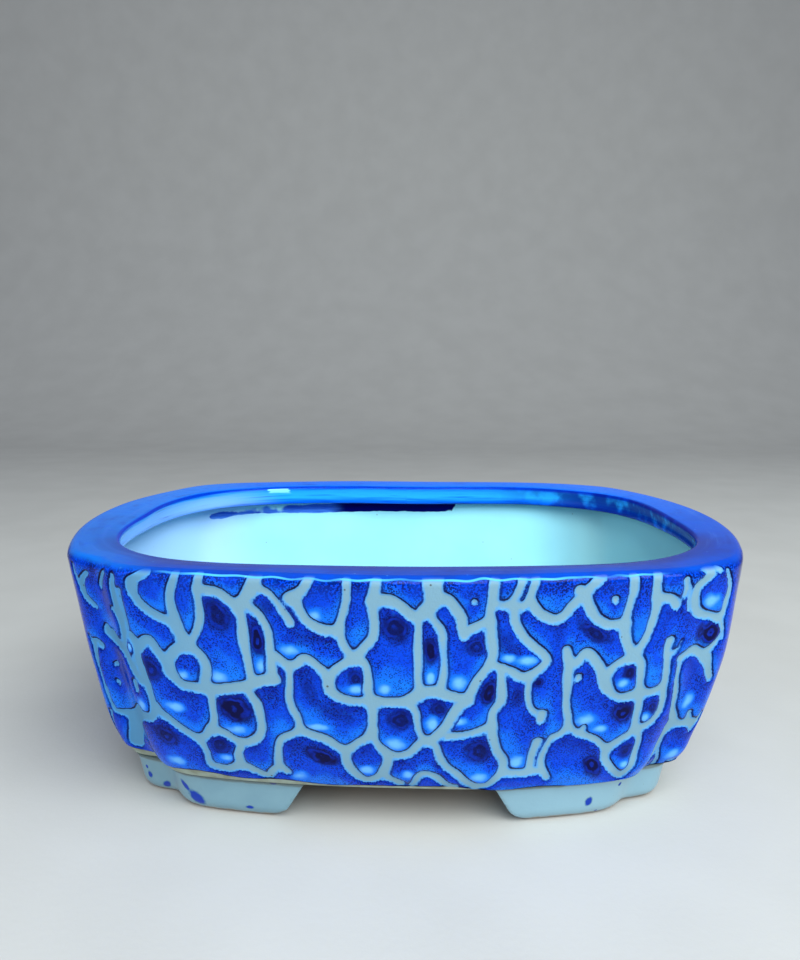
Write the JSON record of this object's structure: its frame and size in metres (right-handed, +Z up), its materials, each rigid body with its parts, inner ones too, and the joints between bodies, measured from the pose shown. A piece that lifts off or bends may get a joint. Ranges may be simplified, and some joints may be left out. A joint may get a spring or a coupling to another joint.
{
  "type": "bonsai pot",
  "caption": "Shallow four-lobed glazed ceramic planting pot with a wide inward rim, corner feet, and drainage holes under clipped mesh screens.",
  "frame": {"origin": "on the ground, under the middle of the pot", "axes": "+X along the pot's length to its right end, +Y to its back, +Z up"},
  "size_m": [0.203, 0.1554, 0.0752],
  "materials": {
    "patterned_glaze": "glossy cobalt blue cells between matt pale celadon lines, white glaze inside",
    "rim_glaze": "glossy cobalt blue, smooth",
    "white_glaze": "pale blue-white glaze with blue splashes",
    "black_plastic": "moulded mesh",
    "coated_wire": "brown anodised"
  },
  "bodies": {
    "root": {"pot_body": "patterned_glaze", "rim_ring": "rim_glaze", "foot_front_left": "white_glaze", "foot_front_right": "white_glaze", "foot_back_left": "white_glaze", "foot_back_right": "white_glaze", "drain_screen_left": "black_plastic", "drain_screen_right": "black_plastic", "screen_clip_left": "coated_wire", "screen_clip_right": "coated_wire"}
  },
  "joints": []
}
